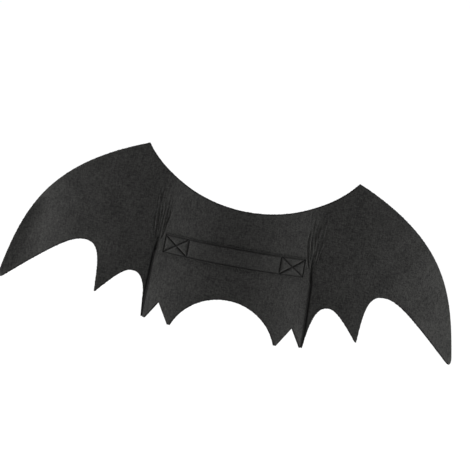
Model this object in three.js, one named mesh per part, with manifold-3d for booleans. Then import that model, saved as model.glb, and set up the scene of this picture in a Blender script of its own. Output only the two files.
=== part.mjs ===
// Felt bat wings to wear on the back: one felt sheet, a band sewn across its saddle, and a girth strap.
// Millimetres. +X runs along the span, +Z is up, and the felt's outside faces -Y, away from the wearer.
// The origin is the middle of the saddle's inner face, at the height of the band.

import * as THREE from 'three';
import { mergeVertices } from 'three/addons/utils/BufferGeometryUtils.js';
import Module from 'manifold-3d';

const wasm = await Module();
wasm.setup();

// Materials' thicknesses, and the gap kept where two of them are sewn together
const FELT = 2;
const BAND = 1.5;
const STRAP = 1.6;
const GAP = 0.3;

// Cut edge of the right half, as x and z: each stretch starts where the one before it ends, and a curved one
// leaves towards and arrives from two more points. The wing's edge runs from the middle of the neck to the
// slit, the saddle's from the slit to the middle of the lower edge.
const NECK_MIDDLE = [0, 47.3];
const WING_EDGE = [
  { stretch: 'neckline', leave: [45, 47.3], arrive: [85, 65.5], end: [107.2, 95] },
  { stretch: 'leading edge', leave: [205.6, 55], arrive: [220.3, 0.8], end: [232.4, -61.7] },
  { stretch: 'wing tip', leave: [233.4, -67.7], arrive: [232.2, -71.3], end: [228.6, -68.5] },
  { stretch: 'outer scallop, far side', leave: [184.4, -28.1], arrive: [168, -13.7], end: [153, -13.7] },
  { stretch: 'outer scallop, near side', leave: [137.3, -13.7], arrive: [135.8, -29.6], end: [134.4, -62.9] },
  { stretch: 'middle spike', end: [133, -62.9] },
  { stretch: 'inner scallop, far side', leave: [116.7, -43.2], arrive: [108, -34.6], end: [101.5, -34.6] },
  { stretch: 'inner scallop, near side', leave: [88.5, -34.6], arrive: [86.5, -52.6], end: [83.6, -79] },
];
const SADDLE_EDGE = [
  { stretch: 'outer spike', end: [79, -79] },
  { stretch: 'notch, outer side', end: [68, -60.6] },
  { stretch: 'notch, inner side', end: [55.6, -80.4] },
  { stretch: 'inner spike', end: [52.8, -80.4] },
  { stretch: 'arch', leave: [44.7, -58.7], arrive: [23.2, -44], end: [0, -44] },
];
const HALF_SPAN = 232;
const HEIGHT = { low: -80.4, high: 95 };
const CURVE_STEPS = 12;

// The slits between saddle and wings, with their gap. Each splays out from its top, where its x is given, to its
// foot. The saddle hangs a little to one side, most above them.
const SLIT = { x: 78.7, top: 2, foot: -79, splay: 2.5 };
const SLIT_GAP = { top: 0.2, foot: 1.2 };
const SADDLE_SHIFT = { top: -2.5, foot: -0.8 };

// Fold: the saddle is an arch over the back. Each wing leaves it at a soft crease and bends back, most at its
// tip. Below the crease the saddle's flap lifts, and the wing's root sinks and turns a strip back behind it.
const SADDLE_RADIUS = 150;
const CREASE = { inner: 65, outer: 82 };
const WING_SLOPE = { root: 0.04, tip: 0.5 };
const PARTING = { over: 20, lift: 1.5, sink: 2.5, strip: 4, drop: 5.5, tuck: 2.2, reach: 45 };

// Gathers: grooves that fan out upwards from the top of each slit. Their places and width are shares of the
// fan's half width, which grows with the height above the slit.
const FAN = { half: 3.6, spread: 0.2, lean: 0.06, full: 18, reach: 52 };
const GATHERS = { places: [-0.75, 0, 0.75], height: 0.5, width: 0.3 };

// Sewn band and girth strap, both sewn on a little askew. The strap is sewn on under the band's ends, where it
// turns in towards the body, and its girth is half as wide and as deep as given, with a half ellipse below.
const BAND_SIZE = { length: 143, height: 20, corner: 1 };
const BAND_TILT = THREE.MathUtils.degToRad(0.9);
const BAND_SHIFT = SADDLE_SHIFT.top;
const STRAP_HEIGHT = 20;
const STRAP_SEWN = { from: 43, to: 70 };
const GIRTH = { half: 104, side: 95, depth: 175 };
const STRAP_BEND = { turn: THREE.MathUtils.degToRad(25), start: 18, end: 35 };
const STRAP_STEP = 9;

// Mesh: the felt's columns and rows, which reach past its outline. Those beside a slit lie just inside its gap.
const COLUMN = 9;
const CLOSE_COLUMN = 2;
const CLOSE_REACH = 94;
const COLUMN_INSET = 0.05;
const ROW = 9;
const MARGIN = 4;
const MERGE = 1e-4;
const NUDGE = 0.01;

const FELT_BLACK = new THREE.MeshStandardMaterial({ color: '#2f2f2d', roughness: 0.95, metalness: 0 });
const BAND_BLACK = new THREE.MeshStandardMaterial({ color: '#2b2b2a', roughness: 0.9, metalness: 0 });
const WEBBING_BLACK = new THREE.MeshStandardMaterial({ color: '#232323', roughness: 0.8, metalness: 0 });

// How far up its slits the sheet is at a height
function upSlit(z) {
  return THREE.MathUtils.clamp((z - SLIT.foot) / (SLIT.top - SLIT.foot), 0, 1);
}

// How far sideways the saddle has shifted at a height
function lean(z) {
  return THREE.MathUtils.lerp(SADDLE_SHIFT.foot, SADDLE_SHIFT.top, upSlit(z));
}

// How much wider the sheet's columns lie at a height than above the slits, which they run along
function spread(z) {
  return 1 + SLIT.splay / SLIT.x * (1 - upSlit(z));
}

function archDepth(a) {
  return SADDLE_RADIUS - Math.sqrt(SADDLE_RADIUS ** 2 - a ** 2);
}

const CREASE_START = {
  depth: archDepth(CREASE.inner),
  slope: CREASE.inner / Math.sqrt(SADDLE_RADIUS ** 2 - CREASE.inner ** 2),
};
const CREASE_WIDTH = CREASE.outer - CREASE.inner;
const ROOT_DEPTH = CREASE_START.depth + CREASE_WIDTH * (CREASE_START.slope + WING_SLOPE.root) / 2;

function wingDepth(a) {
  const out = a - CREASE.outer;
  const bend = (WING_SLOPE.tip - WING_SLOPE.root) / (3 * (HALF_SPAN - CREASE.outer) ** 2);
  return ROOT_DEPTH + WING_SLOPE.root * out + bend * Math.max(out, 0) ** 3;
}

function creaseDepth(a) {
  const t = (a - CREASE.inner) / CREASE_WIDTH;
  const turn = WING_SLOPE.root - CREASE_START.slope;
  return CREASE_START.depth + CREASE_WIDTH * (CREASE_START.slope * t + turn * t * t / 2);
}

function gatherDepth(a, z) {
  const rise = THREE.MathUtils.clamp(z - SLIT.top, 0, FAN.reach);
  const share = (a - SLIT.x + FAN.lean * rise) / (FAN.half + FAN.spread * rise);
  const { smoothstep } = THREE.MathUtils;
  const fade = smoothstep(rise, 0, FAN.full) * (1 - smoothstep(rise, FAN.full, FAN.reach));
  const grooves = GATHERS.places.map((place) => Math.exp(-(((share - place) / GATHERS.width) ** 2)));
  return GATHERS.height * fade * grooves.reduce((sum, groove) => sum + groove, 0);
}

// How far flap and root have parted at a height: not at all at the top of the slit, fully some way below it
function parted(z) {
  return 1 - THREE.MathUtils.smoothstep(z, SLIT.top - PARTING.over, SLIT.top);
}

// How far the strip of the wing's root has turned back: fully at its cut edge
function turned(a) {
  return THREE.MathUtils.clamp(1 - (a - SLIT.x) / PARTING.strip, 0, 1);
}

// How strongly a point of the wing follows its root: fully at the slit, not at all out on the wing
function rootShare(a) {
  return Math.max(0, 1 - (a - SLIT.x) / PARTING.reach) ** 2;
}

// Depth of the felt's middle at a distance across from the saddle's axis, on the saddle or on the wing
function foldDepth(across, z, onSaddle) {
  const a = Math.abs(across);
  let whole = creaseDepth(a);
  if (a <= CREASE.inner) whole = archDepth(a);
  if (a >= CREASE.outer) whole = wingDepth(a);
  const open = parted(z);
  const flap = archDepth(Math.min(a, SLIT.x)) - PARTING.lift * open * (a / SLIT.x) ** 2;
  const root = wingDepth(a) + open * (PARTING.sink * rootShare(a) + PARTING.drop * turned(a));
  return (1 - open) * (whole + gatherDepth(a, z)) + open * (onSaddle ? flap : root) - FELT / 2;
}

// Even steps from one number to another, no longer than a given step
function steps(from, to, step) {
  const count = Math.ceil((to - from) / step);
  return Array.from({ length: count + 1 }, (_, i) => from + (to - from) * i / count);
}

function solidOf(geometry) {
  geometry.deleteAttribute('normal');
  geometry.deleteAttribute('uv');
  const merged = mergeVertices(geometry, MERGE);
  const vertProperties = new Float32Array(merged.attributes.position.array);
  const triVerts = new Uint32Array(merged.index.array);
  return new wasm.Manifold(new wasm.Mesh({ numProp: 3, vertProperties, triVerts }));
}

function geometryOf(solid) {
  const mesh = solid.getMesh();
  const geometry = new THREE.BufferGeometry();
  geometry.setAttribute('position', new THREE.BufferAttribute(mesh.vertProperties, 3));
  geometry.setIndex(new THREE.BufferAttribute(mesh.triVerts, 1));
  geometry.computeVertexNormals();
  return geometry;
}

// A folded slab that follows the fold between two offsets from the felt's middle, outside to inside
function foldedSlab(columns, rows, outside, inside) {
  const spans = [columns.length - 1, rows.length - 1];
  const slab = new THREE.BoxGeometry(spans[0], 1, spans[1], spans[0], 1, spans[1]);
  const place = slab.attributes.position;
  for (let i = 0; i < place.count; i += 1) {
    const across = columns[Math.round(place.getX(i) + spans[0] / 2)];
    const z = rows[Math.round(place.getZ(i) + spans[1] / 2)];
    const onSaddle = Math.abs(across) < SLIT.x;
    const depth = foldDepth(across, z, onSaddle);
    const slopeX = (foldDepth(across + NUDGE, z, onSaddle) - depth) / NUDGE;
    const slopeZ = (foldDepth(across, z + NUDGE, onSaddle) - depth) / NUDGE;
    const offset = place.getY(i) < 0 ? outside : inside;
    place.setXYZ(i, across * spread(z) + lean(z), depth + offset * Math.hypot(1, slopeX, slopeZ), z);
  }
  return solidOf(slab);
}

// A straight prism along Y through an outline given in x and z
function prism(outline) {
  const depth = 4 * SADDLE_RADIUS;
  const block = new THREE.ExtrudeGeometry(outline, { depth, bevelEnabled: false });
  block.rotateX(Math.PI / 2);
  block.translate(0, depth / 2, 0);
  return solidOf(block);
}

function traceStretches(path, stretches) {
  for (const { leave, arrive, end } of stretches) {
    if (leave) path.bezierCurveTo(...leave, ...arrive, ...end);
    else path.lineTo(...end);
  }
}

// Points of one half of the felt's outline, from the middle of the neck to the middle of the lower edge
function halfOutline(side) {
  const top = SLIT.x + side * SADDLE_SHIFT.top;
  const foot = SLIT.x + SLIT.splay + side * SADDLE_SHIFT.foot;
  const edge = new THREE.Path();
  edge.moveTo(...NECK_MIDDLE);
  traceStretches(edge, WING_EDGE);
  edge.lineTo(foot + SLIT_GAP.foot / 2, SLIT.foot);
  edge.lineTo(top + SLIT_GAP.top / 2, SLIT.top);
  edge.lineTo(top - SLIT_GAP.top / 2, SLIT.top);
  edge.lineTo(foot - SLIT_GAP.foot / 2, SLIT.foot);
  traceStretches(edge, SADDLE_EDGE);
  return edge.getPoints(CURVE_STEPS).map((p) => new THREE.Vector2(side * p.x, p.y));
}

// Each wing's root moves in behind the saddle's flap
function tuckRoots(geometry) {
  const place = geometry.attributes.position;
  for (let i = 0; i < place.count; i += 1) {
    const z = place.getZ(i);
    const across = (place.getX(i) - lean(z)) / spread(z);
    const onWing = Math.abs(across) > SLIT.x;
    const tuck = onWing ? PARTING.tuck * parted(z) ** 2 * rootShare(Math.abs(across)) : 0;
    place.setX(i, place.getX(i) - Math.sign(across) * tuck);
  }
  return geometry;
}

function feltSheet() {
  const slitSide = SLIT_GAP.top / 2 - COLUMN_INSET;
  const half = [
    ...steps(0, CREASE.inner - CLOSE_COLUMN, COLUMN),
    ...steps(CREASE.inner, SLIT.x - slitSide, CLOSE_COLUMN),
    ...steps(SLIT.x + slitSide, SLIT.x + PARTING.strip, CLOSE_COLUMN),
    ...steps(SLIT.x + PARTING.strip + CLOSE_COLUMN, CLOSE_REACH, CLOSE_COLUMN),
    ...steps(CLOSE_REACH + CLOSE_COLUMN, HALF_SPAN + MARGIN, COLUMN),
  ];
  const columns = [...half.slice(1).map((x) => -x).reverse(), ...half];
  const rows = steps(HEIGHT.low - MARGIN, HEIGHT.high + MARGIN, ROW);
  const outline = [...halfOutline(1), ...halfOutline(-1).reverse()];
  const sheet = foldedSlab(columns, rows, -FELT / 2, FELT / 2);
  return tuckRoots(geometryOf(sheet.intersect(prism(new THREE.Shape(outline)))));
}

function sewnBand() {
  const { length, height, corner } = BAND_SIZE;
  const columns = steps(-length / 2 - MARGIN, length / 2 + MARGIN, COLUMN / 2);
  const rows = steps(-height / 2 - MARGIN, height / 2 + MARGIN, ROW);
  const inside = -FELT / 2 - GAP;
  const right = length / 2;
  const top = height / 2;
  const outline = new THREE.Shape();
  outline.absarc(right - corner, top - corner, corner, 0, Math.PI / 2);
  outline.absarc(corner - right, top - corner, corner, Math.PI / 2, Math.PI);
  outline.absarc(corner - right, corner - top, corner, Math.PI, 1.5 * Math.PI);
  outline.absarc(right - corner, corner - top, corner, 1.5 * Math.PI, 2 * Math.PI);
  const middle = new THREE.Vector2();
  const askew = outline.getPoints(2).map((p) => p.rotateAround(middle, BAND_TILT));
  const cut = new THREE.Shape(askew.map((p) => new THREE.Vector2(p.x + BAND_SHIFT, p.y)));
  return geometryOf(foldedSlab(columns, rows, inside - BAND, inside).intersect(prism(cut)));
}

// Right half of the strap's middle line in plan: sewn under the saddle, out behind the wing, round the body
function strapLine() {
  const under = SADDLE_RADIUS - FELT / 2 - GAP - STRAP / 2;
  const along = (x) => Math.asin(x / under);
  const sewn = new THREE.EllipseCurve(0, SADDLE_RADIUS - FELT / 2, under, under,
    along(STRAP_SEWN.from) - Math.PI / 2, along(STRAP_SEWN.to) - Math.PI / 2);
  const leave = sewn.getPoint(1);
  const heading = sewn.getTangent(1).multiplyScalar(STRAP_BEND.start);
  heading.rotateAround(new THREE.Vector2(), STRAP_BEND.turn);
  const side = new THREE.Vector2(GIRTH.half, GIRTH.side);
  const bend = new THREE.CubicBezierCurve(leave, leave.clone().add(heading),
    new THREE.Vector2(GIRTH.half, GIRTH.side - STRAP_BEND.end), side);
  const below = new THREE.EllipseCurve(0, GIRTH.side, GIRTH.half, GIRTH.depth - GIRTH.side, 0, Math.PI / 2);
  const line = new THREE.CurvePath();
  line.curves.push(sewn, bend, below);
  return line;
}

function girthStrap() {
  const line = strapLine();
  const count = Math.ceil(line.getLength() / STRAP_STEP);
  const sides = [-STRAP / 2, STRAP / 2].map((offset) => {
    const right = Array.from({ length: count + 1 }, (_, i) => {
      const tangent = line.getTangentAt(i / count);
      const normal = new THREE.Vector2(tangent.y, -tangent.x);
      return line.getPointAt(i / count).addScaledVector(normal, offset);
    });
    const left = right.slice(0, -1).reverse().map((p) => new THREE.Vector2(-p.x, p.y));
    return [...right, ...left];
  });
  const outline = new THREE.Shape([...sides[1], ...sides[0].reverse()]);
  const strap = new THREE.ExtrudeGeometry(outline, { depth: STRAP_HEIGHT, bevelEnabled: false });
  strap.translate(0, 0, -STRAP_HEIGHT / 2);
  strap.rotateY(-BAND_TILT);
  strap.translate(BAND_SHIFT, 0, 0);
  return strap;
}

const wings = new THREE.Group();
const pieces = [
  { name: 'wing_sheet', geometry: feltSheet(), material: FELT_BLACK },
  { name: 'back_band', geometry: sewnBand(), material: BAND_BLACK },
  { name: 'girth_strap', geometry: girthStrap(), material: WEBBING_BLACK },
];
for (const { name, geometry, material } of pieces) {
  const mesh = new THREE.Mesh(geometry, material);
  mesh.name = name;
  wings.add(mesh);
}

export default wings;
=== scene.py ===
"""Looks of felt bat wings: the felt sheet, the band sewn across it, its girth strap and the thread.

Sizes are in millimetres and in the part's own frame, as its source has them. Meshes are made in metres.
+X runs along the span, +Z is up, and the felt's outside faces -Y, away from the wearer.
"""

import math

import bpy
import numpy as np
from mathutils import Matrix, Vector
from mathutils.geometry import delaunay_2d_cdt
from mathutils.kdtree import KDTree


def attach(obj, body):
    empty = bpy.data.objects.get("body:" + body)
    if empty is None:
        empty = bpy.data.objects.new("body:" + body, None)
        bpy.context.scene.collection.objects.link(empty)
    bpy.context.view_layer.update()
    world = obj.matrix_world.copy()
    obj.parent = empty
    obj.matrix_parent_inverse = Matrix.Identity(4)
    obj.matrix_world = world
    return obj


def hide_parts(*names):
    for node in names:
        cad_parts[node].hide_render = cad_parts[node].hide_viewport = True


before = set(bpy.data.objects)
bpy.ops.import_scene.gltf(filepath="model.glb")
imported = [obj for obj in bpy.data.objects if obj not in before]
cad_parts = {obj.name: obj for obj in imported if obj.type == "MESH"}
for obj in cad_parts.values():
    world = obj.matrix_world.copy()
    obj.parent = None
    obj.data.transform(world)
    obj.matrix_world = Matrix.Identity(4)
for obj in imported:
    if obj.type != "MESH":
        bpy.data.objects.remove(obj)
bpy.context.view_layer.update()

MM = 0.001
BODY = "root"

# Camera: a long lens, rolled, in a square picture where a pixel is a millimetre at the origin.
# Only its clip is in metres.
PICTURE_SIDE = 470
CAMERA = {"distance": 5000, "elevation": 6, "roll": 11.2, "aim_right": -5.93, "aim_up": 22.12}
SENSOR = 36
CAMERA_CLIP = 200

# Thicknesses, and the gap kept where two materials are sewn together
FELT = 2.0
BAND = 1.5
STRAP = 1.6
GAP = 0.3

# Cut edge of the right half, as x and z: where each stretch leaves towards, where it arrives from, and
# its end. A straight stretch has only an end. The wing's edge runs from the neck to the slit, and the
# saddle's from there on.
NECK_MIDDLE = (0, 47.3)
WING_EDGE = {
    "neckline": ((45, 47.3), (85, 65.5), (107.2, 95)),
    "leading edge": ((205.6, 55), (220.3, 0.8), (232.4, -61.7)),
    "wing tip": ((233.4, -67.7), (232.2, -71.3), (228.6, -68.5)),
    "outer scallop, far side": ((184.4, -28.1), (168, -13.7), (153, -13.7)),
    "outer scallop, near side": ((137.3, -13.7), (135.8, -29.6), (134.4, -62.9)),
    "middle spike": ((133, -62.9),),
    "inner scallop, far side": ((116.7, -43.2), (108, -34.6), (101.5, -34.6)),
    "inner scallop, near side": ((88.5, -34.6), (86.5, -52.6), (83.6, -79)),
}
SADDLE_EDGE = {
    "outer spike": ((79, -79),),
    "notch, outer side": ((68, -60.6),),
    "notch, inner side": ((55.6, -80.4),),
    "inner spike": ((52.8, -80.4),),
    "arch": ((44.7, -58.7), (23.2, -44), (0, -44)),
}
HALF_SPAN = 232
HEIGHT = {"low": -80.4, "high": 95}
SLIT = {"x": 78.7, "top": 2, "foot": -79, "splay": 2.5}
SLIT_GAP = {"top": 0.2, "foot": 1.2}
SADDLE_SHIFT = {"top": -2.5, "foot": -0.8}

# Fold: the saddle is an arch. Each wing leaves it at a crease and bends back, most at its tip. Below the
# crease the saddle's flap lifts, and the wing's root sinks and turns a strip back behind it. The left
# wing's narrow foot lies further out to the side, clear of its flap.
SADDLE_RADIUS = 150
CREASE = {"inner": 65, "outer": 82}
WING_SLOPE = {"root": 0.04, "tip": 0.5}
PARTING = {"over": 20, "lift": 1.5, "sink": 2.5, "strip": 4, "drop": 5.5, "tuck": 2.2, "reach": 45}
LEFT_FOOT = {"out": 1.7, "from": -34, "full": -79}

# Wrinkles fan out upwards from the top of each slit, where the felt is pinched to a pit. Grooves and
# ridges take turns across the fan. Every fourth starts at the slit, and the others higher, where there is
# room. Chance changes each one. Wiggle and change of place are shares of the fan's half width.
FAN = {"half": 3.4, "grow": 5, "over": 16, "lean": 0.03, "reach": 66}
WRINKLES = {"count": 11, "height": 0.9, "ridge": 0.75, "width": 0.75, "wiggle": 0.06, "wave": 5.5,
            "early": 4, "later": 8, "start": 6, "fade": 0.5, "deeper": 0.7, "inside": 0.7, "seed": 7}
WRINKLE_CHANGE = {"place": 0.1, "phase": 3, "width": 0.25, "reach": 0.2, "strength": 0.4}
WRINKLE_BREAKS = {"wave": 4, "share": 0.4, "phase": 9}
PIT = {"depth": 2.2, "width": 2.6, "height": 8, "z": -3}

# Painted shade, where the felt is darkened: deep in a wrinkle, as shares of its height, and on the strip
# that is turned back, to just past it
CREASED = {"from": 0.6, "to": 1.3, "dark": 0.4}
TUCK_DARK = {"from": 0.2, "to": 1.4, "opened": 0.3}

# Slow forms of the wings: waves, each with its height, its length and start along x, and its length and
# start along z. A soft fold sinks in near the left tip, and the leading edge curls out towards both tips.
SWAY = [(0.33, 83, 0.4, 61, 1.1), (0.24, 47, 2.0, 74, 0.3), (0.16, 31, 0.9, 39, 2.2)]
SWAY_FROM = {"root": 96, "full": 140}
TIP_FOLD = {"x": -203, "depth": 3, "width": 16, "full": 0, "gone": 48}
EDGE_CURL = {"left": 3.8, "right": 0.8, "width": 13, "power": 1.5, "from": 26, "full": -10}

# Raw cut edge: its rounding, how thin the felt is pressed there, how far its fibres stand out, how wide
# the painted shade beside it is, and how dark the painted shade on its rim is
CUT = {"round": 0.9, "thin": 0.6, "bulge": 0.12, "ragged": 0.22, "dark": 1.1, "rim": 1, "seed": 3}

# Meshes of felt and band: steps along the cut, rows of points beside it, and grids for wide, fine and
# closest places, and where the finer ones lie. Points keep clear of the edge by shares of their row's
# distance or their grid's step.
EDGE_STEP = 1.0
EDGE_ROWS = (0.35, 0.9, 1.7)
EDGE_CLEAR = {"row": 0.93, "grid": 0.6}
GRID = {"wide": 2.4, "fine": 1.0, "closest": 0.46, "band": 0.45}
GRID_MARGIN = 1
FINE_CREASE = {"inner": 64, "outer": 95, "high": 76}
FINE_BAND = 4
CLOSEST = {"fan": 1.2, "fan_margin": 0.1, "flap": 1.5, "root": 3}

# Points on a curve before they are spread evenly
SAMPLES = {"cut": 200, "corner": 5, "strap_sewn": 60, "strap_bend": 120, "strap_side": 160}

# Sewn band, a little askew, with a seam along each long edge and a crossed box at each end
BAND_SIZE = {"length": 143, "height": 20, "corner": 1}
BAND_TILT = math.radians(0.9)
BAND_SHIFT = SADDLE_SHIFT["top"]
SEAM = {"edge": 1.2, "box_inner": 46, "box_outer": 69.8}
GROOVE = {"depth": 1.1, "width": 0.6, "felt": 0.5, "felt_inside": 0.3, "felt_spread": 1.5}
PUFF = {"box": 0.75, "middle": 0.3, "rise": 1.8, "blend": 1}
# Painted shade along each seam's groove: its width, and how dark it is painted
SEAM_SHADE = {"width": 0.95, "dark": 0.6}
# Band's cut edge: how far it falls towards the felt, over what width, and how dark its painted shade is
BAND_EDGE = {"fall": 0.25, "width": 1.0, "dark": 0.15}
STITCH = {"length": 2.7, "gap": 0.5, "radius": 0.2, "proud": 0.05, "dive": 0.5, "arch": 0.6, "ply": 0.7}
STITCH_STEPS = 9
STITCH_SIDES = 6

# Girth strap: sewn on under the band's ends, then turned in and led round the body
STRAP_HEIGHT = 20
STRAP_SEWN = {"from": 43, "to": 70, "depth": 25}
GIRTH = {"half": 104, "side": 95, "depth": 175}
STRAP_BEND = {"turn": math.radians(25), "start": 18, "end": 35}
WEAVE = {"pick": 2.0, "cord": 2.5, "relief": 0.09, "step": 0.5, "across": 0.8, "selvedge": 0.8,
         "thin": 0.4}

# Colours, as sRGB
FELT_BLACK = ("#111111", "#252524")
BAND_FELT_BLACK = ("#131313", "#242423")
# Near black of the painted shade in grooves, wrinkles, the tucked strip and along cut edges
PAINTED_SHADE_BLACK = "#040404"
FELT_SHEEN = "#f4f4ee"
THREAD_BLACK = ("#101010", "#1c1c1c")
WEBBING_BLACK = ("#0a0a0a", "#141414")
FLOOR_WHITE = "#fefefe"
ROOM_WHITE = "#ffffff"

# Stage, in metres and watts
FLOOR = {"z": -0.6, "half": 40}
WORLD_STRENGTH = 1.03
SOFTBOXES = {
    "left_softbox": {"place": (-0.7, 0.07, -0.05), "size": (0.35, 0.4), "power": 37.5},
    "right_softbox": {"place": (0.7, 0.07, -0.05), "size": (0.35, 0.4), "power": 36.2},
    "top_softbox": {"place": (0, -0.6, 1.6), "size": (1.0, 0.6), "power": 29},
}

# Sockets of a colour mix, which share their names, and axes of the part
MIX_FACTOR, MIX_A, MIX_B, MIX_RESULT = 0, 6, 7, 2
X_AXIS, Z_AXIS = 0, 2


def smoothstep(value, low, high):
    t = np.clip((value - low) / (high - low), 0, 1)
    return t * t * (3 - 2 * t)


# Materials

def to_linear(colour):
    """An sRGB hex colour as linear red, green, blue and an alpha of 1."""
    channels = [int(colour[i:i + 2], 16) / 255 for i in (1, 3, 5)]
    return [c / 12.92 if c <= 0.04045 else ((c + 0.055) / 1.055) ** 2.4 for c in channels] + [1]


def add(tree, kind, inputs=(), **settings):
    """A new node with these settings, whose inputs are values or other nodes' outputs."""
    node = tree.nodes.new(kind)
    for name, value in settings.items():
        setattr(node, name, value)
    for key, value in dict(inputs).items():
        if isinstance(value, bpy.types.NodeSocket):
            tree.links.new(value, node.inputs[key])
        else:
            node.inputs[key].default_value = value
    return node


def new_material(name):
    """An empty material, its node tree and its shader."""
    material = bpy.data.materials.new(name)
    material.use_nodes = True
    tree = material.node_tree
    tree.nodes.clear()
    shader = add(tree, "ShaderNodeBsdfPrincipled")
    add(tree, "ShaderNodeOutputMaterial", {"Surface": shader.outputs[0]})
    return material, tree, shader


def finish_shader(tree, shader, colour, normal, **values):
    tree.links.new(colour, shader.inputs["Base Color"])
    tree.links.new(normal, shader.inputs["Normal"])
    for name, value in values.items():
        shader.inputs[name.replace("_", " ")].default_value = value


def needle_punched_felt(name, colours, grain, cross):
    """Polyester felt, carded and needle punched: dull black, mottled by fibres that lie along its grain
    and across it, with hardly any sheen, and with painted shade that darkens it where it is cut, sewn or
    tucked in, and deep in its wrinkles."""
    material, tree, shader = new_material(name)
    place = add(tree, "ShaderNodeTexCoord").outputs["Object"]

    # Fibres are a few hundredths of a millimetre wide, far too fine to show. Drawn here as bundles 0.8 mm
    # wide, one layer along the grain and one across it, as a carded web is laid.
    bundle = {"wide": 0.8, "long": 5}
    layers = []
    for way in (grain, cross):
        scale = [1 / (bundle["long" if axis == way else "wide"] * MM) for axis in range(3)]
        along = add(tree, "ShaderNodeVectorMath", {0: place, 1: scale}, operation="MULTIPLY").outputs[0]
        layers.append(add(tree, "ShaderNodeTexNoise", {
            "Vector": along, "Scale": 1, "Detail": 2, "Roughness": 0.6, "Distortion": 0.4}).outputs[0])
    # Tufts left by the needles about 2 mm apart, and clouds of denser web about 20 mm across
    tufts = add(tree, "ShaderNodeTexNoise", {
        "Vector": place, "Scale": 1 / (2 * MM), "Detail": 3, "Roughness": 0.7}).outputs[0]
    clouds = add(tree, "ShaderNodeTexNoise", {
        "Vector": place, "Scale": 1 / (20 * MM), "Detail": 2}).outputs[0]

    # The web is a sum of three noises that lie round 0.5, and its shade has a share of the clouds added.
    cloud_share, darkest, lightest = 0.25, 1.325, 1.925
    fibres = add(tree, "ShaderNodeMath", {0: layers[0], 1: layers[1]}, operation="ADD").outputs[0]
    web = add(tree, "ShaderNodeMath", {0: fibres, 1: tufts}, operation="ADD").outputs[0]
    shade = add(tree, "ShaderNodeMath", {0: clouds, 1: cloud_share, 2: web},
                operation="MULTIPLY_ADD").outputs[0]
    share = add(tree, "ShaderNodeMapRange", {
        "Value": shade, "From Min": darkest, "From Max": lightest}).outputs[0]
    face = add(tree, "ShaderNodeMix", {
        MIX_FACTOR: share, MIX_A: to_linear(colours[0]), MIX_B: to_linear(colours[1])},
        data_type="RGBA").outputs[MIX_RESULT]
    # Painted shade: a near black is mixed in by the attribute read here
    painted_shade = add(tree, "ShaderNodeAttribute", attribute_name="painted_shade").outputs["Fac"]
    colour = add(tree, "ShaderNodeMix", {
        MIX_FACTOR: painted_shade, MIX_A: face, MIX_B: to_linear(PAINTED_SHADE_BLACK)},
        data_type="RGBA").outputs[MIX_RESULT]
    normal = add(tree, "ShaderNodeBump", {"Height": web, "Strength": 0.6, "Distance": 0.3 * MM}).outputs[0]
    finish_shader(tree, shader, colour, normal, Roughness=0.95, Diffuse_Roughness=1.0,
                  Specular_IOR_Level=0.03, Sheen_Weight=0.02, Sheen_Roughness=0.5,
                  Sheen_Tint=to_linear(FELT_SHEEN))
    return material


def spun_thread():
    """Spun polyester sewing thread, three plies twisted together: a faint gloss, broken by the plies."""
    material, tree, shader = new_material("spun_polyester_thread")
    round_thread = add(tree, "ShaderNodeAttribute", attribute_name="ply").outputs["Fac"]
    # Real plies are 0.2 mm apart. Drawn 0.7 mm apart, so that a few show on each stitch.
    wave = add(tree, "ShaderNodeMath", {0: round_thread}, operation="SINE").outputs[0]
    share = add(tree, "ShaderNodeMapRange", {"Value": wave, "From Min": -1, "From Max": 1}).outputs[0]
    colour = add(tree, "ShaderNodeMix", {
        MIX_FACTOR: share, MIX_A: to_linear(THREAD_BLACK[0]), MIX_B: to_linear(THREAD_BLACK[1])},
        data_type="RGBA").outputs[MIX_RESULT]
    normal = add(tree, "ShaderNodeBump", {
        "Height": share, "Strength": 0.6, "Distance": 0.08 * MM}).outputs[0]
    finish_shader(tree, shader, colour, normal, Roughness=0.75, Specular_IOR_Level=0.1)
    return material


def woven_webbing():
    """Polyester webbing in plain weave: thick picks across it, over and under cords along it, and dull."""
    material, tree, shader = new_material("woven_polyester_webbing")
    weave = add(tree, "ShaderNodeAttribute", attribute_name="weave").outputs["Vector"]
    # Each cord is of yarns 0.4 mm wide, which show as fine lines along it.
    yarn = {"long": 1.6, "wide": 0.4}
    along = add(tree, "ShaderNodeVectorMath", {0: weave, 1: (1 / yarn["long"], 1 / yarn["wide"], 1)},
                operation="MULTIPLY").outputs[0]
    lines = add(tree, "ShaderNodeTexNoise", {"Vector": along, "Scale": 1, "Detail": 3}).outputs[0]
    # The colour is darker where a pick dips under a cord: painted shade in the weave's hollows, added to
    # the yarns' own fine lines
    relief = add(tree, "ShaderNodeAttribute", attribute_name="over").outputs["Fac"]
    height = add(tree, "ShaderNodeMath", {0: lines, 1: relief}, operation="ADD").outputs[0]
    darkest, lightest = 0.4, 1.5
    share = add(tree, "ShaderNodeMapRange", {
        "Value": height, "From Min": darkest, "From Max": lightest}).outputs[0]
    colour = add(tree, "ShaderNodeMix", {
        MIX_FACTOR: share, MIX_A: to_linear(WEBBING_BLACK[0]), MIX_B: to_linear(WEBBING_BLACK[1])},
        data_type="RGBA").outputs[MIX_RESULT]
    normal = add(tree, "ShaderNodeBump", {
        "Height": lines, "Strength": 0.5, "Distance": 0.1 * MM}).outputs[0]
    finish_shader(tree, shader, colour, normal, Roughness=0.85, Specular_IOR_Level=0.05,
                  Sheen_Weight=0.01)
    return material


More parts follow.
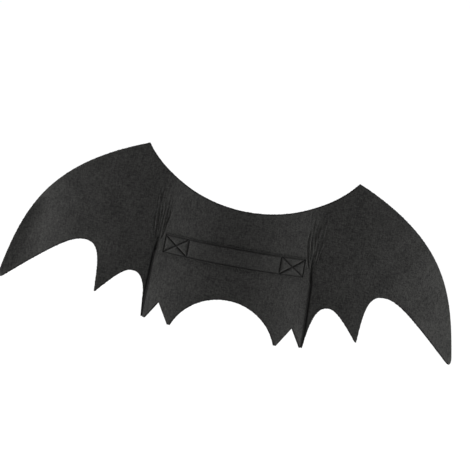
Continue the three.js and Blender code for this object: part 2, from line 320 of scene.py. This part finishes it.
def matt_floor():
    """Matt white painted board, with the faint unevenness of a rolled coat."""
    material, tree, shader = new_material("rolled_white_paint")
    place = add(tree, "ShaderNodeTexCoord").outputs["Object"]
    # The roller leaves a skin of bumps about 3 mm apart.
    coat = add(tree, "ShaderNodeTexNoise", {
        "Vector": place, "Scale": 1 / (3 * MM), "Detail": 2}).outputs[0]
    normal = add(tree, "ShaderNodeBump", {
        "Height": coat, "Strength": 0.1, "Distance": 0.1 * MM}).outputs[0]
    tree.links.new(normal, shader.inputs["Normal"])
    shader.inputs["Base Color"].default_value = to_linear(FLOOR_WHITE)
    shader.inputs["Roughness"].default_value = 0.9
    return material


# Fold of the felt

def across_at(x, z):
    """Distance of a point from the saddle's axis, which leans, as the felt has it above the slits. Below,
    it spreads with the slits, which splay towards their foot."""
    up = np.clip((z - SLIT["foot"]) / (SLIT["top"] - SLIT["foot"]), 0, 1)
    lean = SADDLE_SHIFT["foot"] + (SADDLE_SHIFT["top"] - SADDLE_SHIFT["foot"]) * up
    return (x - lean) / (1 + SLIT["splay"] / SLIT["x"] * (1 - up))


def arch_depth(a):
    return SADDLE_RADIUS - np.sqrt(SADDLE_RADIUS ** 2 - np.minimum(a, SLIT["x"]) ** 2)


CREASE_WIDTH = CREASE["outer"] - CREASE["inner"]
CREASE_DEPTH = float(arch_depth(CREASE["inner"]))
CREASE_SLOPE = CREASE["inner"] / math.sqrt(SADDLE_RADIUS ** 2 - CREASE["inner"] ** 2)
ROOT_DEPTH = CREASE_DEPTH + CREASE_WIDTH * (CREASE_SLOPE + WING_SLOPE["root"]) / 2


def wing_depth(a):
    out = a - CREASE["outer"]
    bend = (WING_SLOPE["tip"] - WING_SLOPE["root"]) / (3 * (HALF_SPAN - CREASE["outer"]) ** 2)
    return ROOT_DEPTH + WING_SLOPE["root"] * out + bend * np.maximum(out, 0) ** 3


def crease_depth(a):
    t = (a - CREASE["inner"]) / CREASE_WIDTH
    turn = WING_SLOPE["root"] - CREASE_SLOPE
    return CREASE_DEPTH + CREASE_WIDTH * (CREASE_SLOPE * t + turn * t * t / 2)


def parted(z):
    """How far flap and wing root have parted at a height: not at all at the top of the slit."""
    return 1 - smoothstep(z, SLIT["top"] - PARTING["over"], SLIT["top"])


def turned(a):
    """How far the strip of the wing's root has turned back at a distance across: fully at its cut edge."""
    return np.clip(1 - (a - SLIT["x"]) / PARTING["strip"], 0, 1)


def root_share(a):
    """How strongly a point of the wing follows its root: fully at the slit, not at all out on the wing."""
    return np.maximum(0, 1 - (a - SLIT["x"]) / PARTING["reach"]) ** 2


def fold_depth(across, z, on_saddle):
    """Depth of the felt's middle at a distance from the saddle's axis, on the saddle or on the wing."""
    a = np.abs(across)
    beyond = np.where(a >= CREASE["outer"], wing_depth(a), crease_depth(a))
    whole = np.where(a <= CREASE["inner"], arch_depth(a), beyond)
    opened = parted(z)
    flap = arch_depth(a) - PARTING["lift"] * opened * (np.minimum(a, SLIT["x"]) / SLIT["x"]) ** 2
    root = wing_depth(a) + opened * (PARTING["sink"] * root_share(a) + PARTING["drop"] * turned(a))
    return (1 - opened) * whole + opened * np.where(on_saddle, flap, root) - FELT / 2


def fan_half(z):
    """Half the width of the fan of wrinkles above a slit."""
    rise = np.clip(z - SLIT["top"], 0, FAN["reach"])
    return FAN["half"] + FAN["grow"] * (1 - np.exp(-rise / FAN["over"]))


def fan_share(a, z):
    """Where a point lies across the fan of wrinkles above a slit: -1 and 1 at its sides."""
    rise = np.clip(z - SLIT["top"], 0, FAN["reach"])
    return (a - SLIT["x"] + FAN["lean"] * rise) / fan_half(z)


def wrinkle_depth(across, z):
    """Fine grooves and ridges that fan out upwards from the top of each slit, deepest near it."""
    a = np.abs(across)
    rise = z - SLIT["top"]
    share, half = fan_share(a, z), fan_half(z)
    low = np.exp(-(rise / FAN["over"]) ** 2)
    chance = np.random.default_rng(WRINKLES["seed"])
    change, breaks = WRINKLE_CHANGE, WRINKLE_BREAKS
    depth = np.zeros_like(a)
    for side in (-1, 1):
        on_side = np.sign(across) == side
        for i, place in enumerate(np.linspace(-1, 1, WRINKLES["count"])):
            shift, strength, width, reach, phase = chance.uniform(-1, 1, 5)
            wiggle = WRINKLES["wiggle"] * np.sin(z / WRINKLES["wave"] + change["phase"] * phase)
            line = place + change["place"] * shift + wiggle
            half_width = WRINKLES["width"] * (1 + change["width"] * width)
            form = np.exp(-((share - line) * half / half_width) ** 2)
            start = WRINKLES["later"] if i % WRINKLES["early"] else 0
            top = FAN["reach"] * (1 - change["reach"] + change["reach"] * reach)
            length = smoothstep(rise, start - WRINKLES["start"], start + WRINKLES["start"])
            length *= 1 - smoothstep(rise, WRINKLES["fade"] * top, top)
            broken = np.sin(z / breaks["wave"] + breaks["phase"] * shift)
            length *= 1 - breaks["share"] + breaks["share"] * broken + WRINKLES["deeper"] * low
            height = -WRINKLES["ridge"] if i % 2 else WRINKLES["height"]
            depth += on_side * height * (1 + change["strength"] * strength) * length * form
    return depth


def pit_depth(across, z):
    """The pit that the wrinkles run into, at the top of each slit."""
    out = (np.abs(across) - SLIT["x"]) / PIT["width"]
    up = (z - PIT["z"]) / PIT["height"]
    return PIT["depth"] * np.exp(-out ** 2 - up ** 2)


def creased_share(flat):
    """How little light reaches the felt deep in its wrinkles and where a wing's root is tucked in."""
    z = flat[:, 1]
    across = across_at(flat[:, 0], z)
    a = np.abs(across)
    past_strip = a - SLIT["x"] - PARTING["strip"] * parted(z)
    tucked = 1 - smoothstep(past_strip, TUCK_DARK["from"], TUCK_DARK["to"])
    tucked *= smoothstep(parted(z), 0, TUCK_DARK["opened"])
    deep = wrinkle_depth(across, z) / WRINKLES["height"]
    folded = CREASED["dark"] * smoothstep(deep, CREASED["from"], CREASED["to"])
    return np.where(a > SLIT["x"], np.maximum(tucked, folded), folded)


def sway_depth(x, z):
    """Slow unevenness of the wings, which the saddle doesn't have, and a soft fold near the left tip."""
    waves = sum(height * np.sin(x / wide * math.tau + start) * np.cos(z / high * math.tau + lift)
                for height, wide, start, high, lift in SWAY)
    fold = TIP_FOLD["depth"] * np.exp(-((x - TIP_FOLD["x"]) / TIP_FOLD["width"]) ** 2)
    fold *= 1 - smoothstep(z, TIP_FOLD["full"], TIP_FOLD["gone"])
    return waves * smoothstep(np.abs(x), SWAY_FROM["root"], SWAY_FROM["full"]) + fold


def felt_middle(flat, curl):
    """The folded felt's middle over flat points, as x, y and z."""
    x, z = flat[:, 0], flat[:, 1]
    across = across_at(x, z)
    a = np.abs(across)
    on_saddle = a < SLIT["x"]
    depth = fold_depth(across, z, on_saddle) + sway_depth(x, z) - curl
    tuck = np.where(on_saddle, 0, PARTING["tuck"] * parted(z) ** 2 * root_share(a))
    at_foot = 1 - smoothstep(z, LEFT_FOOT["full"], LEFT_FOOT["from"])
    tuck -= np.where(on_saddle | (across > 0), 0, LEFT_FOOT["out"] * at_foot * root_share(a))
    return np.column_stack([x - np.sign(across) * tuck, depth, z])


def on_fold(x, z, out):
    """Points of the saddle at a distance out from the felt's middle, square to the fold."""
    nudge = 0.01
    depth = fold_depth(across_at(x, z), z, True)
    slope_x = (fold_depth(across_at(x + nudge, z), z, True) - depth) / nudge
    slope_z = (fold_depth(across_at(x, z + nudge), z + nudge, True) - depth) / nudge
    size = np.sqrt(1 + slope_x ** 2 + slope_z ** 2)
    return np.column_stack([x + out * slope_x / size, depth - out / size, z + out * slope_z / size])


# Flat outlines and the points inside them

def cubic(start, leave, arrive, end, count):
    """Points along a cubic curve that leaves towards one handle and arrives from another."""
    t = np.linspace(0, 1, count)[:, None]
    return ((1 - t) ** 3 * start + 3 * t * (1 - t) ** 2 * leave
            + 3 * t ** 2 * (1 - t) * arrive + t ** 3 * end)


def stretch_points(start, stretch):
    """Even points along a stretch of a cut edge, without its start."""
    end = np.array(stretch[-1], float)
    handles = stretch[:2] if len(stretch) == 3 else (start, end)
    leave, arrive = [np.array(p, float) for p in handles]
    return even_points(cubic(start, leave, arrive, end, SAMPLES["cut"]), EDGE_STEP)[1:]


def travelled(line):
    """How far along a line each of its points is."""
    return np.concatenate([[0], np.cumsum(np.linalg.norm(np.diff(line, axis=0), axis=1))])


def even_points(line, step):
    """Points along a line, spread evenly, about a step apart."""
    length = travelled(line)
    count = max(1, round(length[-1] / step))
    places = np.linspace(0, length[-1], count + 1)
    return np.column_stack([np.interp(places, length, column) for column in line.T])


def half_outline(side):
    """One half of the felt's cut edge, from the middle of the neck to the middle of the arch."""
    foot = SLIT["x"] + SLIT["splay"] + side * SADDLE_SHIFT["foot"]
    top = SLIT["x"] + side * SADDLE_SHIFT["top"]
    wide, narrow = SLIT_GAP["foot"] / 2, SLIT_GAP["top"] / 2
    slit = {
        "foot, wing": ((foot + wide, SLIT["foot"]),),
        "top, wing": ((top + narrow, SLIT["top"]),),
        "top, saddle": ((top - narrow, SLIT["top"]),),
        "foot, saddle": ((foot - wide, SLIT["foot"]),),
    }
    points = [np.array([NECK_MIDDLE], float)]
    for stretch in [*WING_EDGE.values(), *slit.values(), *SADDLE_EDGE.values()]:
        points.append(stretch_points(points[-1][-1], stretch))
    return np.vstack(points) * (side, 1)


def felt_outline():
    """The whole cut edge, counter-clockwise as seen from outside."""
    right, left = half_outline(1), half_outline(-1)
    return np.vstack([left, right[-2:0:-1]])


def band_outline():
    """The band's rounded rectangle about its middle, counter-clockwise."""
    corner = BAND_SIZE["corner"]
    right, top = BAND_SIZE["length"] / 2 - corner, BAND_SIZE["height"] / 2 - corner
    turns = np.linspace(0, math.pi / 2, SAMPLES["corner"])
    corners = ((1, 1, 0), (-1, 1, math.pi / 2), (-1, -1, math.pi), (1, -1, 1.5 * math.pi))
    points = [(sx * right + corner * math.cos(start + t), sz * top + corner * math.sin(start + t))
              for sx, sz, start in corners for t in turns]
    return even_points(np.array(points + points[:1]), EDGE_STEP)[:-1]


def inside(points, outline):
    """Whether each point lies inside a closed outline."""
    x, z = points.T
    odd = np.zeros(len(points), bool)
    for (x0, z0), (x1, z1) in zip(outline, np.roll(outline, -1, axis=0)):
        if z0 != z1:
            odd ^= ((z0 > z) != (z1 > z)) & (x < x0 + (x1 - x0) * (z - z0) / (z1 - z0))
    return odd


def distance_to(points, marks):
    """Distance from each flat point to the nearest of some marks."""
    tree = KDTree(len(marks))
    for i, mark in enumerate(marks):
        tree.insert((*mark, 0), i)
    tree.balance()
    return np.array([tree.find((*p, 0))[2] for p in points])


def staggered_grid(step, low, high):
    """Rows of points between two corners, every second row shifted by half a step."""
    rows = np.arange(low[1], high[1], step * math.sqrt(3) / 2)
    columns = np.arange(low[0], high[0], step)
    return np.vstack([np.column_stack([columns + (i % 2) * step / 2, np.full(len(columns), z)])
                      for i, z in enumerate(rows)])


def edge_rows(outline):
    """Rows of points just inside a cut edge, left out where they would crowd in a spike or a slit."""
    ahead = np.roll(outline, -1, axis=0) - np.roll(outline, 1, axis=0)
    inward = np.column_stack([-ahead[:, 1], ahead[:, 0]]) / np.linalg.norm(ahead, axis=1)[:, None]
    rows = []
    for row in EDGE_ROWS:
        points = outline + inward * row
        clear = distance_to(points, outline) > EDGE_CLEAR["row"] * row
        rows.append(points[inside(points, outline) & clear])
    return np.vstack(rows)


def filled(outline, grids):
    """Points inside an outline: rows beside its edge, then each grid's points clear of the edge."""
    points = [edge_rows(outline)]
    for grid, step in grids:
        grid = grid[inside(grid, outline)]
        points.append(grid[distance_to(grid, outline) > EDGE_ROWS[-1] + EDGE_CLEAR["grid"] * step])
    return np.vstack(points)


def cut_sheet(outline, points):
    """A flat sheet in triangles: its points, its triangles, and the points along its outline in order."""
    places = [Vector(p) for p in np.vstack([outline, points])]
    ring = list(range(len(outline)))
    inside_only, closest = 1, 1e-4
    flat, _, triangles, origins, _, _ = delaunay_2d_cdt(places, [], [ring], inside_only, closest)
    new = {old: i for i, olds in enumerate(origins) for old in olds}
    return np.array([tuple(p) for p in flat]), np.array(triangles), np.array([new[i] for i in ring])


# Meshes

def unit(vectors):
    return vectors / np.maximum(np.linalg.norm(vectors, axis=1), 1e-9)[:, None]


def sheet_normals(points, triangles):
    """Normal of a sheet at each point, out of its outside."""
    corners = points[triangles]
    face = np.cross(corners[:, 1] - corners[:, 0], corners[:, 2] - corners[:, 0])
    normals = np.zeros_like(points)
    for corner in range(3):
        np.add.at(normals, triangles[:, corner], face)
    return unit(normals)


def new_piece(name, points, faces, material):
    mesh = bpy.data.meshes.new(name)
    mesh.from_pydata((points * MM).tolist(), [], [list(f) for f in faces])
    mesh.polygons.foreach_set("use_smooth", np.ones(len(faces), bool))
    mesh.materials.append(material)
    mesh.update()
    piece = bpy.data.objects.new(name, mesh)
    bpy.context.scene.collection.objects.link(piece)
    return piece


def set_attribute(piece, name, values):
    """A number or a vector for each point of a piece, which its material reads."""
    values = np.asarray(values, np.float32)
    kind, field = ("FLOAT", "value") if values.ndim == 1 else ("FLOAT_VECTOR", "vector")
    piece.data.attributes.new(name, kind, "POINT").data.foreach_set(field, values.ravel())


def edge_profile(distance):
    """Share of the thickness that is left near a cut edge, which is pressed thin and round."""
    near = np.clip(1 - distance / CUT["round"], 0, 1)
    return np.sqrt(1 - (1 - CUT["thin"] ** 2) * near ** 2)


def edge_shade_share(distance):
    """How much painted shade a point gets from the cut edge beside it."""
    return np.clip(1 - distance / CUT["dark"], 0, 1)


def layered_piece(name, sides, triangles, ring, painted_shade, rim_painted_shade, material):
    """A closed sheet between its outer and inner side, with a ragged rim along its outline."""
    outer, inner = sides
    chance = np.random.default_rng(CUT["seed"])
    edge = (outer[ring] + inner[ring]) / 2
    along = np.roll(edge, -1, axis=0) - np.roll(edge, 1, axis=0)
    away = unit(np.cross(along, outer[ring] - inner[ring]))
    stand_out = CUT["bulge"] + CUT["ragged"] * chance.uniform(-1, 1, len(ring))
    rim = edge + away * stand_out[:, None]
    count = len(outer)
    rim_at = 2 * count + np.arange(len(ring))
    faces = [*triangles.tolist(), *(triangles[:, ::-1] + count).tolist()]
    for here, there in zip(range(len(ring)), np.roll(range(len(ring)), -1)):
        i, j = ring[here], ring[there]
        faces.append((j, i, rim_at[here], rim_at[there]))
        faces.append((rim_at[there], rim_at[here], i + count, j + count))
    piece = new_piece(name, np.vstack([outer, inner, rim]), faces, material)
    # Painted shade on both sides and on the rim
    set_attribute(piece, "painted_shade", np.concatenate([painted_shade, painted_shade, np.full(len(ring), rim_painted_shade)]))
    return piece


# Seams of the band, in its own length and height

def seam_lines():
    """Stitched lines as pairs of ends: the two long ones, then the sides and cross of each end's box."""
    top = BAND_SIZE["height"] / 2 - SEAM["edge"]
    near, far = SEAM["box_inner"], SEAM["box_outer"]
    lines = [((-far, z), (far, z)) for z in (top, -top)]
    for side in (-1, 1):
        ends = [((near, top), (near, -top)), ((far, top), (far, -top)),
                ((near, top), (far, -top)), ((near, -top), (far, top))]
        lines += [tuple((side * x, z) for x, z in line) for line in ends]
    return lines


SEAMS = seam_lines()
BAND_TURN = np.array([[math.cos(BAND_TILT), math.sin(BAND_TILT)],
                      [-math.sin(BAND_TILT), math.cos(BAND_TILT)]])


def seam_distance(points):
    """Distance from each place on the band to the nearest seam."""
    nearest = np.full(len(points), np.inf)
    for start, end in SEAMS:
        start, way = np.array(start), np.subtract(end, start)
        t = np.clip((points - start) @ way / (way @ way), 0, 1)
        nearest = np.minimum(nearest, np.linalg.norm(points - start - t[:, None] * way, axis=1))
    return nearest


def from_band(band):
    """Places on the band as x and z of the part."""
    return band @ BAND_TURN + (BAND_SHIFT, 0)


def to_band(flat):
    """Places as x and z of the part, as places on the band."""
    return (flat - (BAND_SHIFT, 0)) @ BAND_TURN.T


def groove(distance):
    return np.exp(-(distance / GROOVE["width"]) ** 2)


def band_front(band):
    """How far the band's outside stands out from the felt's middle: puffed up between its seams."""
    seam = seam_distance(band)
    inner, blend = SEAM["box_inner"], PUFF["blend"]
    in_box = smoothstep(np.abs(band[:, 0]), inner - blend, inner + blend)
    puff = PUFF["middle"] + (PUFF["box"] - PUFF["middle"]) * in_box
    rise = puff * (1 - np.exp(-(seam / PUFF["rise"]) ** 2))
    return FELT / 2 + GAP + BAND + rise - GROOVE["depth"] * groove(seam)


# Felt and band

def in_closest(flat, margin):
    """Whether flat points lie among the wrinkles or beside a slit."""
    z = flat[:, 1]
    a = np.abs(across_at(flat[:, 0], z))
    rise = z - SLIT["top"]
    in_fan = np.abs(fan_share(a, z)) < CLOSEST["fan"] + CLOSEST["fan_margin"] * margin
    wrinkled = in_fan & (rise > -margin)
    out = a - SLIT["x"]
    beside = (out > -CLOSEST["flap"] - margin) & (out < PARTING["strip"] + CLOSEST["root"] + margin)
    return wrinkled & (rise < FAN["reach"]) | beside & (rise < 0)


def in_fine(flat, margin):
    """Whether flat points lie round a crease or the band."""
    z = flat[:, 1]
    a = np.abs(across_at(flat[:, 0], z))
    crease = (a > FINE_CREASE["inner"] - margin) & (a < FINE_CREASE["outer"] + margin)
    size = np.array([BAND_SIZE["length"], BAND_SIZE["height"]]) / 2 + FINE_BAND + margin
    return crease & (z < FINE_CREASE["high"] + margin) | (np.abs(to_band(flat)) < size).all(axis=1)


def edge_curl(flat):
    """How far the leading edge curls outwards near the tips, more on the left wing."""
    leading = stretch_points(np.array(WING_EDGE["neckline"][-1], float), WING_EDGE["leading edge"])
    mirrored = np.column_stack([np.abs(flat[:, 0]), flat[:, 1]])
    near = np.clip(1 - distance_to(mirrored, leading) / EDGE_CURL["width"], 0, 1) ** EDGE_CURL["power"]
    curl = near * np.where(flat[:, 0] < 0, EDGE_CURL["left"], EDGE_CURL["right"])
    return curl * (1 - smoothstep(flat[:, 1], EDGE_CURL["full"], EDGE_CURL["from"]))


def felt_wings(material):
    """The felt sheet: cut flat, folded, wrinkled, grooved under the seams and given its thickness."""
    outline = felt_outline()
    low = (-HALF_SPAN - GRID_MARGIN, HEIGHT["low"] - GRID_MARGIN)
    high = (HALF_SPAN + GRID_MARGIN, HEIGHT["high"] + GRID_MARGIN)
    closest, fine, wide = [staggered_grid(GRID[name], low, high) for name in ("closest", "fine", "wide")]
    wide = wide[~in_fine(wide, GRID["fine"])]
    fine = fine[in_fine(fine, 0) & ~in_closest(fine, GRID["closest"])]
    closest = closest[in_closest(closest, 0)]
    grids = [(closest, GRID["closest"]), (fine, GRID["fine"]), (wide, GRID["wide"])]
    flat, triangles, ring = cut_sheet(outline, filled(outline, grids))

    middle = felt_middle(flat, edge_curl(flat))
    normals = sheet_normals(middle, triangles)
    cut = distance_to(flat, outline)
    seam = groove(seam_distance(to_band(flat)) / GROOVE["felt_spread"])
    half = FELT / 2 * edge_profile(cut)
    z = flat[:, 1]
    across = across_at(flat[:, 0], z)
    wrinkles = (wrinkle_depth(across, z) + pit_depth(across, z))[:, None] * (0, 1, 0)
    outer = middle + normals * (half - GROOVE["felt"] * seam)[:, None] + wrinkles
    inner = middle - normals * (half - GROOVE["felt_inside"] * seam)[:, None]
    inner += WRINKLES["inside"] * wrinkles
    # Painted shade along the cut edge, deep in the wrinkles and on the tucked-in strip
    painted_shade = np.maximum(edge_shade_share(cut), creased_share(flat))
    return layered_piece("felt_wings", (outer, inner), triangles, ring, painted_shade, CUT["rim"], material)


def sewn_band(material):
    """The band: pressed down along its seams, puffed between them and laid on the saddle."""
    outline = band_outline()
    half = np.array([BAND_SIZE["length"], BAND_SIZE["height"]]) / 2
    grid = staggered_grid(GRID["band"], -half, half)
    band, triangles, ring = cut_sheet(outline, filled(outline, [(grid, GRID["band"])]))
    cut = distance_to(band, outline)
    to_seam = seam_distance(band)
    fall = BAND_EDGE["fall"] * np.clip(1 - cut / BAND_EDGE["width"], 0, 1) ** 2
    front = band_front(band) - fall
    back = FELT / 2 + GAP - GROOVE["felt"] * groove(to_seam)
    middle, reach = (front + back) / 2, (front - back) / 2 * edge_profile(cut)
    flat = from_band(band)
    outer = on_fold(flat[:, 0], flat[:, 1], middle + reach)
    inner = on_fold(flat[:, 0], flat[:, 1], middle - reach)
    # Painted shade in the seams' grooves, and along the band's cut edge and on its rim
    sewn = np.exp(-(to_seam / SEAM_SHADE["width"]) ** 4)
    painted_shade = np.maximum(BAND_EDGE["dark"] * edge_shade_share(cut), SEAM_SHADE["dark"] * sewn)
    rim = BAND_EDGE["dark"]
    return layered_piece("sewn_band", (outer, inner), triangles, ring, painted_shade, rim, material)


# Girth strap

def strap_line():
    """The strap's middle line in plan, from its sewn end on the left round the body to the right one."""
    radius = SADDLE_RADIUS - FELT / 2 - GAP - STRAP / 2
    centre = SADDLE_RADIUS - FELT / 2
    first, last = [math.asin(STRAP_SEWN[end] / radius) for end in ("from", "to")]
    angles = np.linspace(first, last, SAMPLES["strap_sewn"])
    sewn = np.column_stack([radius * np.sin(angles), centre - radius * np.cos(angles)])
    leave, side = sewn[-1], np.array([GIRTH["half"], GIRTH["side"]])
    way = angles[-1] + STRAP_BEND["turn"]
    heading = np.array([math.cos(way), math.sin(way)]) * STRAP_BEND["start"]
    arrive = side - (0, STRAP_BEND["end"])
    bend = cubic(leave, leave + heading, arrive, side, SAMPLES["strap_bend"])[1:]
    angles = np.linspace(0, math.pi / 2, SAMPLES["strap_side"])[1:]
    below = side + np.column_stack([GIRTH["half"] * (np.cos(angles) - 1),
                                    (GIRTH["depth"] - GIRTH["side"]) * np.sin(angles)])
    right = np.vstack([sewn, bend, below])
    return even_points(np.vstack([right * (-1, 1), right[-2::-1]]), WEAVE["step"])


def strap_place(plan, z):
    """Points of the strap, turned askew and shifted with the band, as x, y and z of the part."""
    x, y = plan.T
    askew = from_band(np.column_stack([x, z]))
    return np.column_stack([askew[:, 0], y, askew[:, 1]])


def girth_webbing(material):
    """The strap: a flat loop with rounded selvedges, whose weave stands out as low relief."""
    line = strap_line()
    steps = len(line)
    ahead = unit(np.gradient(line, axis=0))
    outward = np.column_stack([-ahead[:, 1], ahead[:, 0]])

    columns = round(STRAP_HEIGHT / WEAVE["across"]) + 1
    across = np.linspace(-STRAP_HEIGHT / 2, STRAP_HEIGHT / 2, columns)
    near = np.clip(1 - (STRAP_HEIGHT / 2 - np.abs(across)) / WEAVE["selvedge"], 0, 1)
    thick = STRAP / 2 * np.sqrt(1 - (1 - WEAVE["thin"] ** 2) * near ** 2)
    ring_z = np.concatenate([across, across[::-1]])
    ring_face = np.repeat([1, -1], columns)
    ring_thick = np.concatenate([thick, thick[::-1]])

    z, travel = np.meshgrid(ring_z, travelled(line))
    face = np.broadcast_to(ring_face, z.shape)
    # Which way round a pick goes at each cord, which is never zero
    cord = np.sign(np.sin(z / WEAVE["cord"] * math.tau) + 1e-9)
    over = face * np.sin(travel / WEAVE["pick"] * math.tau) * cord
    plan_x = np.broadcast_to(line[:, :1], z.shape)
    sewn = np.broadcast_to(line[:, 1:] < line[0, 1] + STRAP_SEWN["depth"], z.shape)
    places = np.column_stack([plan_x.ravel(), z.ravel()])
    seam = groove(seam_distance(places)).reshape(z.shape) * sewn * (face == -1)
    out = face * (ring_thick - WEAVE["relief"] * (1 - over * face) / 2) + GROOVE["felt_inside"] * seam
    plan = line[:, None, :] + outward[:, None, :] * out[:, :, None]
    points = strap_place(plan.reshape(-1, 2), z.ravel())

    around = len(ring_z)
    faces = []
    for i in range(steps - 1):
        for k in range(around):
            j = (k + 1) % around
            faces.append((i * around + k, (i + 1) * around + k, (i + 1) * around + j, i * around + j))
    for end, flip in ((0, False), ((steps - 1) * around, True)):
        for k in range(columns - 1):
            cap = (end + k, end + k + 1, end + around - 2 - k, end + around - 1 - k)
            faces.append(cap[::-1] if flip else cap)
    piece = new_piece("girth_webbing", points, faces, material)
    set_attribute(piece, "weave", np.column_stack([travel.ravel(), z.ravel(), 0 * z.ravel()]))
    set_attribute(piece, "over", (over * face).ravel() / 2 + 0.5)
    return piece


# Thread

def stitches(start, end):
    """Start and end of each stitch along a line."""
    start, end = np.array(start, float), np.array(end, float)
    length = np.linalg.norm(end - start)
    count = round(length / (STITCH["length"] + STITCH["gap"]))
    pitch = length / count
    way = (end - start) / length
    gap = STITCH["gap"] / 2
    return [(start + way * (i * pitch + gap), start + way * ((i + 1) * pitch - gap)) for i in range(count)]


def thread_tube(path):
    """A thread along a path: its rings of points, and how far round it the points of a ring lie."""
    ahead = unit(np.gradient(path, axis=0))
    first = unit(np.cross(ahead, (0, 1, 0)))
    second = np.cross(ahead, first)
    turn = np.linspace(0, math.tau, STITCH_SIDES, endpoint=False)
    ring = first[:, None] * np.cos(turn)[None, :, None] + second[:, None] * np.sin(turn)[None, :, None]
    return (path[:, None] + STITCH["radius"] * ring).reshape(-1, 3), turn


def sewing_thread(material):
    """All stitches as one piece: over the band outside, and over the strap's ends and the felt inside."""
    steps, sides = STITCH_STEPS, STITCH_SIDES
    t = np.linspace(0, 1, steps)
    arch = np.sin(t * math.pi) ** STITCH["arch"]
    points, faces, plies = [], [], []
    inside_felt = -(FELT / 2 - GROOVE["felt_inside"])
    inside_strap = -(FELT / 2 + GAP + STRAP - GROOVE["felt_inside"])

    def sew(start, end, height, out):
        band = start + (end - start) * t[:, None]
        flat = from_band(band)
        lift = (STITCH["proud"] + STITCH["dive"]) * arch - STITCH["dive"]
        path = on_fold(flat[:, 0], flat[:, 1], height(band) + out * lift)
        tube, turn = thread_tube(path)
        base = sum(len(p) for p in points)
        for i in range(steps - 1):
            for k in range(sides):
                j = (k + 1) % sides
                here, there = base + i * sides, base + (i + 1) * sides
                faces.append((here + k, here + j, there + j, there + k))
        faces.append(tuple(base + k for k in range(sides))[::-1])
        faces.append(tuple(base + (steps - 1) * sides + k for k in range(sides)))
        points.append(tube)
        travel = t * np.linalg.norm(end - start)
        plies.append((travel[:, None] / STITCH["ply"] * math.tau + turn).ravel())

    def inside_height(band):
        on_strap = np.abs(band[:, 0]) > STRAP_SEWN["from"]
        return np.where(on_strap, inside_strap, inside_felt)

    for line in SEAMS:
        for start, end in stitches(*line):
            sew(start, end, band_front, 1)
            sew(start, end, inside_height, -1)
    piece = new_piece("sewing_thread", np.vstack(points), faces, material)
    set_attribute(piece, "ply", np.concatenate(plies))
    return piece


# Stage

def add_floor():
    half = FLOOR["half"] / MM
    corners = np.array([(-half, -half, 0), (half, -half, 0), (half, half, 0), (-half, half, 0)], float)
    floor = new_piece("studio_floor", corners + (0, 0, FLOOR["z"] / MM), [(0, 1, 2, 3)], matt_floor())


def add_light(name, place, size, power):
    light = bpy.data.lights.new(name, "AREA")
    light.shape = "RECTANGLE"
    light.size, light.size_y = size
    light.energy = power
    lamp = bpy.data.objects.new(name, light)
    bpy.context.scene.collection.objects.link(lamp)
    lamp.location = place
    lamp.rotation_euler = (-Vector(place)).to_track_quat("-Z", "Y").to_euler()
    lamp.visible_camera = False


def add_lights():
    """A white room, a softbox at each side that skims the felt, and one above."""
    world = bpy.data.worlds.new("white_room")
    world.use_nodes = True
    world.node_tree.nodes.clear()
    white = add(world.node_tree, "ShaderNodeBackground", {
        "Color": to_linear(ROOM_WHITE), "Strength": WORLD_STRENGTH})
    add(world.node_tree, "ShaderNodeOutputWorld", {"Surface": white.outputs[0]})
    bpy.context.scene.world = world
    for name, box in SOFTBOXES.items():
        add_light(name, **box)


def add_camera():
    elevation, roll = math.radians(CAMERA["elevation"]), math.radians(CAMERA["roll"])
    back = Vector((0, -math.cos(elevation), math.sin(elevation)))
    right = Vector((1, 0, 0))
    up = back.cross(right)
    aim = right * CAMERA["aim_right"] + up * CAMERA["aim_up"]
    camera = bpy.data.cameras.new("camera")
    camera.sensor_width = SENSOR
    camera.lens = SENSOR * CAMERA["distance"] / PICTURE_SIDE
    camera.clip_end = CAMERA_CLIP
    view = bpy.data.objects.new("camera", camera)
    bpy.context.scene.collection.objects.link(view)
    rolled_right = right * math.cos(roll) + up * math.sin(roll)
    rolled_up = up * math.cos(roll) - right * math.sin(roll)
    turn = Matrix((rolled_right, rolled_up, back)).transposed()
    view.matrix_world = Matrix.Translation((aim + back * CAMERA["distance"]) * MM) @ turn.to_4x4()
    bpy.context.scene.camera = view


add_camera()
add_floor()
add_lights()
bpy.context.scene.view_settings.view_transform = "Standard"

wings = felt_wings(needle_punched_felt("needle_punched_felt", FELT_BLACK, Z_AXIS, X_AXIS))
band = sewn_band(needle_punched_felt("needle_punched_band_felt", BAND_FELT_BLACK, X_AXIS, Z_AXIS))
strap = girth_webbing(woven_webbing())
thread = sewing_thread(spun_thread())

for piece, node, slot in ((wings, "wing_sheet", "felt"), (band, "back_band", "band_felt"),
                          (strap, "girth_strap", "webbing")):
    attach(piece, BODY)
    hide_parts(node)
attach(thread, BODY)
